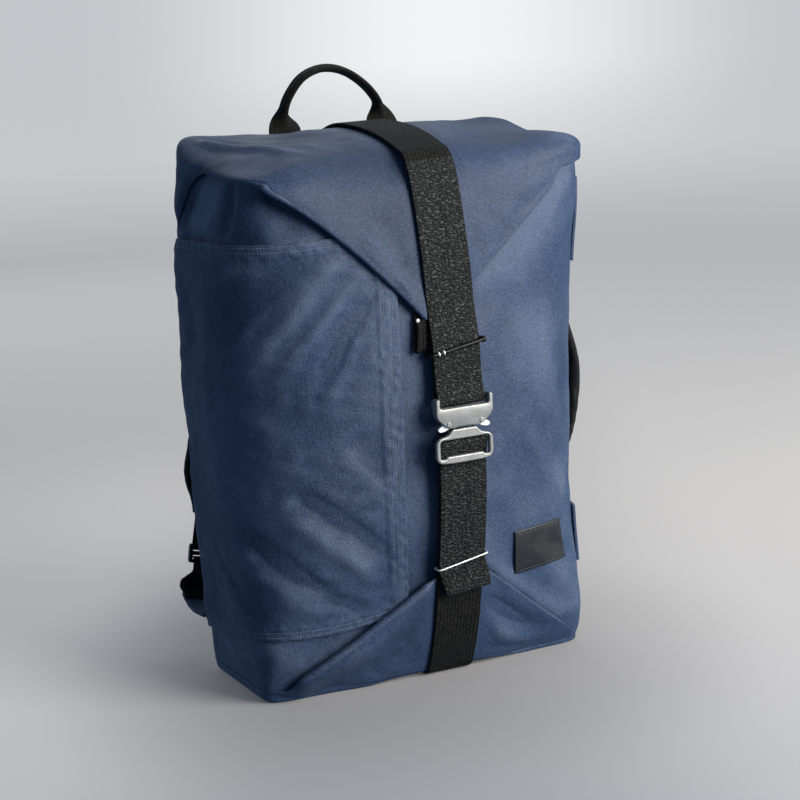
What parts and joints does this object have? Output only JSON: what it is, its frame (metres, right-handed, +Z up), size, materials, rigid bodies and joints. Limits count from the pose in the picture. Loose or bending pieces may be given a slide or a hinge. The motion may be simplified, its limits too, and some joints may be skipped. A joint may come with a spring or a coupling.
{
  "type": "backpack",
  "caption": "Standing canvas backpack folded shut like a parcel under a wide webbing strap with a metal quick-release buckle, with a side pocket, carry handles and padded shoulder straps.",
  "frame": {"origin": "on the floor under the middle of the base, on the resting face", "axes": "+X from the bag's left to its right as seen from the front, +Y from its front to its back, +Z up"},
  "size_m": [0.3783, 0.2534, 0.5342],
  "materials": {
    "canvas": "waxed navy canvas, dusty sheen",
    "webbing": "coarse black webbing",
    "padding": "black padded cloth",
    "patch": "dark grey embossed patch, bare",
    "alloy": "satin",
    "steel": "bright",
    "black_metal": "black, slightly glossy"
  },
  "bodies": {
    "bag": {"sack": "canvas", "top_hood": "canvas", "base_fold": "canvas", "side_pocket": "canvas", "front_strap_upper": "webbing", "front_strap_lower": "webbing", "strap_keeper_upper": "black_metal", "strap_keeper_lower": "steel", "flap_tab": "webbing", "label_patch": "patch", "top_handle": "webbing", "side_handle": "padding", "side_handle_anchor_top": "canvas", "side_handle_anchor_bottom": "canvas", "buckle_socket": "alloy", "buckle_tongue": "alloy", "shoulder_strap_left": "padding", "shoulder_strap_right": "padding", "strap_adjuster_left": "black_metal", "strap_adjuster_right": "black_metal", "lower_webbing_left": "webbing", "lower_webbing_right": "webbing", "strap_anchor_left": "canvas", "strap_anchor_right": "canvas"},
    "lever_left": {"release_lever_left": "steel"},
    "lever_right": {"release_lever_right": "steel"}
  },
  "joints": [
    {"name": "release_left", "type": "hinge", "parent": "bag", "child": "lever_left", "pos_m": [-0.00529, -0.12946, 0.2414], "axis": [0, -1, 0], "range_deg": [0, 12], "stiffness_Nm_per_rad": 0.004, "springref_deg": -8.59},
    {"name": "release_right", "type": "hinge", "parent": "bag", "child": "lever_right", "pos_m": [0.02611, -0.12946, 0.2414], "axis": [0, 1, 0], "range_deg": [0, 12], "stiffness_Nm_per_rad": 0.004, "springref_deg": -8.59}
  ]
}
